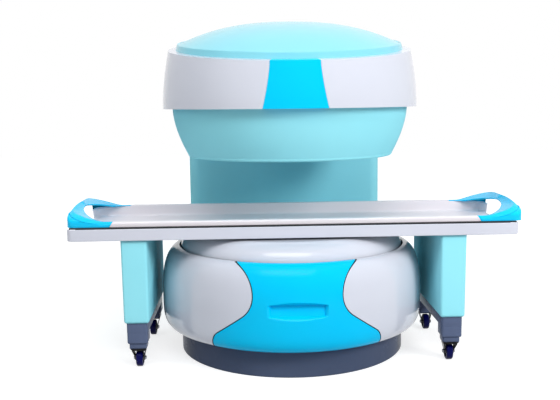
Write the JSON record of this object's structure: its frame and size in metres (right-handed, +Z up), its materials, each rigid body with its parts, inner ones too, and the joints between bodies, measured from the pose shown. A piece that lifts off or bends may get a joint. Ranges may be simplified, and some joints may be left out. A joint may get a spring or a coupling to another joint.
{
  "type": "open veterinary magnet scanner",
  "caption": "Open permanent-magnet scanner for animals: round lower and upper housings on a rear column, with a castored table, sliding carriage and lift-off stretcher tray.",
  "frame": {"origin": "on the floor, under the axis of the two round magnet housings, which is the centre of the anchor circle", "axes": "+Z up along the magnet axis, -Y towards the front, where the table pulls out, +X along the table towards the right as seen from the front"},
  "size_m": [2.1, 1.7699, 1.6337],
  "materials": {
    "apron_paint": "satin",
    "aqua_cover": "gloss",
    "base_steel": "matt",
    "blue_cover": "gloss",
    "castor_black": "gloss",
    "castor_steel": "satin",
    "coil_resin": "matt",
    "ferrite": "matt",
    "foot_slate": "gloss",
    "frame_aluminium": "satin",
    "handle_blue": "gloss",
    "radio_coil": "matt",
    "shim_steel": "satin",
    "shoe_plastic": "matt",
    "slate_cover": "gloss",
    "slide_black": "anodised",
    "socket_rubber": "matt",
    "steel": "satin",
    "tray_white": "gloss",
    "turquoise_cover": "gloss",
    "wheel_core": "satin",
    "wheel_tyre": "satin",
    "white_cover": "gloss",
    "yoke_iron": "satin"
  },
  "bodies": {
    "magnet": {"foot_plate": "base_steel", "base_frame": "base_steel", "lower_yoke": "yoke_iron", "yoke_post": "yoke_iron", "upper_yoke": "yoke_iron", "yoke_bolts": "steel", "lower_magnet": "ferrite", "upper_magnet": "ferrite", "lower_pole_plate": "yoke_iron", "upper_pole_plate": "yoke_iron", "lower_shim_ring": "shim_steel", "upper_shim_ring": "shim_steel", "lower_gradient_coil": "coil_resin", "upper_gradient_coil": "coil_resin", "lower_radio_coil": "radio_coil", "upper_radio_coil": "radio_coil", "plinth_cover": "slate_cover", "drum_cover_left": "white_cover", "drum_cover_right": "white_cover", "pole_cover": "white_cover", "column_cover": "turquoise_cover", "rear_panel": "turquoise_cover", "bowl_cover": "turquoise_cover", "crown_cover_left": "white_cover", "crown_cover_right": "white_cover", "crown_plate": "blue_cover", "dome_cover": "aqua_cover", "panel_sockets": "socket_rubber"},
    "front_panel": {"drum_front_panel": "blue_cover", "panel_pins": "steel"},
    "table": {"table_frame": "frame_aluminium", "table_apron": "apron_paint", "slide_rails": "slide_black", "leg_cover_left": "turquoise_cover", "leg_cover_right": "turquoise_cover", "leg_posts": "steel", "foot_left": "foot_slate", "foot_right": "foot_slate", "castor_plates": "castor_black"},
    "carriage": {"carriage": "slide_black", "slide_shoes": "shoe_plastic"},
    "tray": {"tray_shell": "tray_white", "handle_left": "handle_blue", "handle_right": "handle_blue"},
    "castor_fl": {"castor_fork_fl": "castor_black", "castor_axle_fl": "castor_steel"},
    "wheel_fl": {"wheel_core_fl": "wheel_core", "wheel_tyre_fl": "wheel_tyre"},
    "castor_fr": {"castor_fork_fr": "castor_black", "castor_axle_fr": "castor_steel"},
    "wheel_fr": {"wheel_core_fr": "wheel_core", "wheel_tyre_fr": "wheel_tyre"},
    "castor_rl": {"castor_fork_rl": "castor_black", "castor_axle_rl": "castor_steel"},
    "wheel_rl": {"wheel_core_rl": "wheel_core", "wheel_tyre_rl": "wheel_tyre"},
    "castor_rr": {"castor_fork_rr": "castor_black", "castor_axle_rr": "castor_steel"},
    "wheel_rr": {"wheel_core_rr": "wheel_core", "wheel_tyre_rr": "wheel_tyre"}
  },
  "joints": [
    {"name": "panel_pull", "type": "slide", "parent": "magnet", "child": "front_panel", "axis": [0, -1, 0], "range_m": [0, 0.25]},
    {"name": "table_roll", "type": "slide", "parent": "magnet", "child": "table", "axis": [0, -1, 0], "range_m": [-0.08, 0.9]},
    {"name": "carriage_slide", "type": "slide", "parent": "table", "child": "carriage", "axis": [1, 0, 0], "range_m": [-0.4, 0.4]},
    {"name": "tray_lift", "type": "slide", "parent": "carriage", "child": "tray", "axis": [0, 0, 1], "range_m": [0, 0.12]},
    {"name": "castor_swivel_fl", "type": "hinge", "parent": "table", "child": "castor_fl", "pos_m": [-0.73, -0.359, 0.098], "axis": [0, 0, 1], "continuous": true},
    {"name": "wheel_spin_fl", "type": "hinge", "parent": "castor_fl", "child": "wheel_fl", "pos_m": [-0.73, -0.341, 0.04], "axis": [1, 0, 0], "continuous": true},
    {"name": "castor_swivel_fr", "type": "hinge", "parent": "table", "child": "castor_fr", "pos_m": [0.73, -0.359, 0.098], "axis": [0, 0, 1], "continuous": true},
    {"name": "wheel_spin_fr", "type": "hinge", "parent": "castor_fr", "child": "wheel_fr", "pos_m": [0.73, -0.341, 0.04], "axis": [1, 0, 0], "continuous": true},
    {"name": "castor_swivel_rl", "type": "hinge", "parent": "table", "child": "castor_rl", "pos_m": [-0.73, 0.185, 0.098], "axis": [0, 0, 1], "continuous": true},
    {"name": "wheel_spin_rl", "type": "hinge", "parent": "castor_rl", "child": "wheel_rl", "pos_m": [-0.73, 0.167, 0.04], "axis": [1, 0, 0], "continuous": true},
    {"name": "castor_swivel_rr", "type": "hinge", "parent": "table", "child": "castor_rr", "pos_m": [0.73, 0.185, 0.098], "axis": [0, 0, 1], "continuous": true},
    {"name": "wheel_spin_rr", "type": "hinge", "parent": "castor_rr", "child": "wheel_rr", "pos_m": [0.73, 0.167, 0.04], "axis": [1, 0, 0], "continuous": true}
  ]
}
